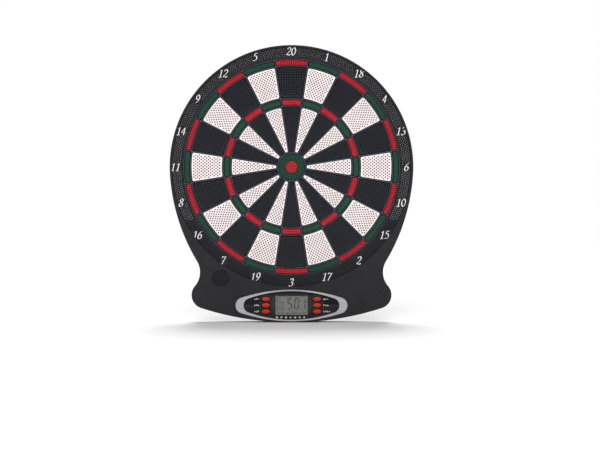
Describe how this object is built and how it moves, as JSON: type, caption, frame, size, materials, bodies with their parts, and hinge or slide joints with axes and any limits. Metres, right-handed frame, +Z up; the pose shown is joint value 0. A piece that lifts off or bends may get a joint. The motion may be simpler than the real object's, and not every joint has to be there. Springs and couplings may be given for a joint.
{
  "type": "electronic dartboard",
  "caption": "Wall-hung electronic soft-tip dartboard with a round target of sprung perforated segments above a wide base with a display, push buttons and a speaker grille.",
  "frame": {"origin": "on the wall plane at the axis of the bullseye", "axes": "+Z up, +Y into the wall, the target faces -Y, +X to the right of a player who faces the board"},
  "size_m": [0.39, 0.03, 0.4438],
  "materials": {
    "housing": "fine moulded texture, matt",
    "ring_black": "matt",
    "web_black": "satin",
    "mat_rubber": "matt",
    "film": "clear satin film with printed tracks",
    "part_black": "matt",
    "hardboard": "smooth pressed fibre",
    "fascia_black": "gloss",
    "trim_silver": "satin silver lacquer",
    "window": "clear gloss",
    "lcd": "gloss",
    "frame_white": "matt",
    "zebra_rubber": "matt",
    "key_rubber": "matt",
    "circuit_green": "solder resist on glass fibre",
    "steel": "pressed steel",
    "magnet": "ground ferrite",
    "cone": "thin formed film",
    "spring_steel": "nickel plated",
    "battery": "printed sleeve",
    "screw_steel": "zinc plated",
    "wire": "soft insulation",
    "segment_red": "satin",
    "segment_green": "satin",
    "segment_black": "satin",
    "segment_white": "satin",
    "button_orange": "gloss"
  },
  "bodies": {
    "case": {"front_housing": "housing", "rear_housing": "housing", "number_ring": "ring_black", "spider_web": "web_black", "rubber_mat": "mat_rubber", "upper_film": "film", "spacer_film": "film", "lower_film": "film", "tail_clamp": "part_black", "backing_board": "hardboard", "control_panel": "fascia_black", "trim_ring": "trim_silver", "lcd_window": "window", "lcd_glass": "lcd", "lcd_frame": "frame_white", "zebra_strip": "zebra_rubber", "key_pad": "key_rubber", "circuit_board": "circuit_green", "circuit_parts": "part_black", "speaker_basket": "steel", "speaker_magnet": "magnet", "speaker_cone": "cone", "speaker_clamp": "part_black", "battery_plates": "spring_steel", "battery_springs": "spring_steel", "batteries": "battery", "housing_screws": "screw_steel", "board_screws": "screw_steel", "inner_screws": "screw_steel", "battery_leads": "wire", "speaker_leads": "wire"},
    "bed_20": {"bed_20": "segment_black"},
    "bed_1": {"bed_1": "segment_white"},
    "bed_18": {"bed_18": "segment_black"},
    "bed_4": {"bed_4": "segment_white"},
    "bed_13": {"bed_13": "segment_black"},
    "bed_6": {"bed_6": "segment_white"},
    "bed_10": {"bed_10": "segment_black"},
    "bed_15": {"bed_15": "segment_white"},
    "bed_2": {"bed_2": "segment_black"},
    "bed_17": {"bed_17": "segment_white"},
    "bed_3": {"bed_3": "segment_black"},
    "bed_19": {"bed_19": "segment_white"},
    "bed_7": {"bed_7": "segment_black"},
    "bed_16": {"bed_16": "segment_white"},
    "bed_8": {"bed_8": "segment_black"},
    "bed_11": {"bed_11": "segment_white"},
    "bed_14": {"bed_14": "segment_black"},
    "bed_9": {"bed_9": "segment_white"},
    "bed_12": {"bed_12": "segment_black"},
    "bed_5": {"bed_5": "segment_white"},
    "bullseye": {"bullseye": "segment_red"},
    "outer_bull": {"outer_bull": "segment_green"},
    "button_l1": {"button_l1": "button_orange"},
    "button_l2": {"button_l2": "button_orange"},
    "button_l3": {"button_l3": "button_orange"},
    "button_r1": {"button_r1": "button_orange"},
    "button_r2": {"button_r2": "button_orange"},
    "button_r3": {"button_r3": "button_orange"},
    "battery_door": {"battery_door": "housing"}
  },
  "joints": [
    {"name": "bed_20_press", "type": "slide", "parent": "case", "child": "bed_20", "axis": [0, 1, 0], "range_m": [0, 0.0012], "stiffness_N_per_m": 2500},
    {"name": "bed_1_press", "type": "slide", "parent": "case", "child": "bed_1", "axis": [0, 1, 0], "range_m": [0, 0.0012], "stiffness_N_per_m": 2500},
    {"name": "bed_18_press", "type": "slide", "parent": "case", "child": "bed_18", "axis": [0, 1, 0], "range_m": [0, 0.0012], "stiffness_N_per_m": 2500},
    {"name": "bed_4_press", "type": "slide", "parent": "case", "child": "bed_4", "axis": [0, 1, 0], "range_m": [0, 0.0012], "stiffness_N_per_m": 2500},
    {"name": "bed_13_press", "type": "slide", "parent": "case", "child": "bed_13", "axis": [0, 1, 0], "range_m": [0, 0.0012], "stiffness_N_per_m": 2500},
    {"name": "bed_6_press", "type": "slide", "parent": "case", "child": "bed_6", "axis": [0, 1, 0], "range_m": [0, 0.0012], "stiffness_N_per_m": 2500},
    {"name": "bed_10_press", "type": "slide", "parent": "case", "child": "bed_10", "axis": [0, 1, 0], "range_m": [0, 0.0012], "stiffness_N_per_m": 2500},
    {"name": "bed_15_press", "type": "slide", "parent": "case", "child": "bed_15", "axis": [0, 1, 0], "range_m": [0, 0.0012], "stiffness_N_per_m": 2500},
    {"name": "bed_2_press", "type": "slide", "parent": "case", "child": "bed_2", "axis": [0, 1, 0], "range_m": [0, 0.0012], "stiffness_N_per_m": 2500},
    {"name": "bed_17_press", "type": "slide", "parent": "case", "child": "bed_17", "axis": [0, 1, 0], "range_m": [0, 0.0012], "stiffness_N_per_m": 2500},
    {"name": "bed_3_press", "type": "slide", "parent": "case", "child": "bed_3", "axis": [0, 1, 0], "range_m": [0, 0.0012], "stiffness_N_per_m": 2500},
    {"name": "bed_19_press", "type": "slide", "parent": "case", "child": "bed_19", "axis": [0, 1, 0], "range_m": [0, 0.0012], "stiffness_N_per_m": 2500},
    {"name": "bed_7_press", "type": "slide", "parent": "case", "child": "bed_7", "axis": [0, 1, 0], "range_m": [0, 0.0012], "stiffness_N_per_m": 2500},
    {"name": "bed_16_press", "type": "slide", "parent": "case", "child": "bed_16", "axis": [0, 1, 0], "range_m": [0, 0.0012], "stiffness_N_per_m": 2500},
    {"name": "bed_8_press", "type": "slide", "parent": "case", "child": "bed_8", "axis": [0, 1, 0], "range_m": [0, 0.0012], "stiffness_N_per_m": 2500},
    {"name": "bed_11_press", "type": "slide", "parent": "case", "child": "bed_11", "axis": [0, 1, 0], "range_m": [0, 0.0012], "stiffness_N_per_m": 2500},
    {"name": "bed_14_press", "type": "slide", "parent": "case", "child": "bed_14", "axis": [0, 1, 0], "range_m": [0, 0.0012], "stiffness_N_per_m": 2500},
    {"name": "bed_9_press", "type": "slide", "parent": "case", "child": "bed_9", "axis": [0, 1, 0], "range_m": [0, 0.0012], "stiffness_N_per_m": 2500},
    {"name": "bed_12_press", "type": "slide", "parent": "case", "child": "bed_12", "axis": [0, 1, 0], "range_m": [0, 0.0012], "stiffness_N_per_m": 2500},
    {"name": "bed_5_press", "type": "slide", "parent": "case", "child": "bed_5", "axis": [0, 1, 0], "range_m": [0, 0.0012], "stiffness_N_per_m": 2500},
    {"name": "outer_bull_press", "type": "slide", "parent": "case", "child": "outer_bull", "axis": [0, 1, 0], "range_m": [0, 0.0012], "stiffness_N_per_m": 2500},
    {"name": "bullseye_press", "type": "slide", "parent": "case", "child": "bullseye", "axis": [0, 1, 0], "range_m": [0, 0.0012], "stiffness_N_per_m": 2500},
    {"name": "button_l1_press", "type": "slide", "parent": "case", "child": "button_l1", "axis": [0, 1, 0], "range_m": [0, 0.0009], "stiffness_N_per_m": 600},
    {"name": "button_l2_press", "type": "slide", "parent": "case", "child": "button_l2", "axis": [0, 1, 0], "range_m": [0, 0.0009], "stiffness_N_per_m": 600},
    {"name": "button_l3_press", "type": "slide", "parent": "case", "child": "button_l3", "axis": [0, 1, 0], "range_m": [0, 0.0009], "stiffness_N_per_m": 600},
    {"name": "button_r1_press", "type": "slide", "parent": "case", "child": "button_r1", "axis": [0, 1, 0], "range_m": [0, 0.0009], "stiffness_N_per_m": 600},
    {"name": "button_r2_press", "type": "slide", "parent": "case", "child": "button_r2", "axis": [0, 1, 0], "range_m": [0, 0.0009], "stiffness_N_per_m": 600},
    {"name": "button_r3_press", "type": "slide", "parent": "case", "child": "button_r3", "axis": [0, 1, 0], "range_m": [0, 0.0009], "stiffness_N_per_m": 600},
    {"name": "battery_door_hinge", "type": "hinge", "parent": "case", "child": "battery_door", "pos_m": [0.102, -0.0018, -0.166], "axis": [1, 0, 0], "range_deg": [0, 100]}
  ]
}
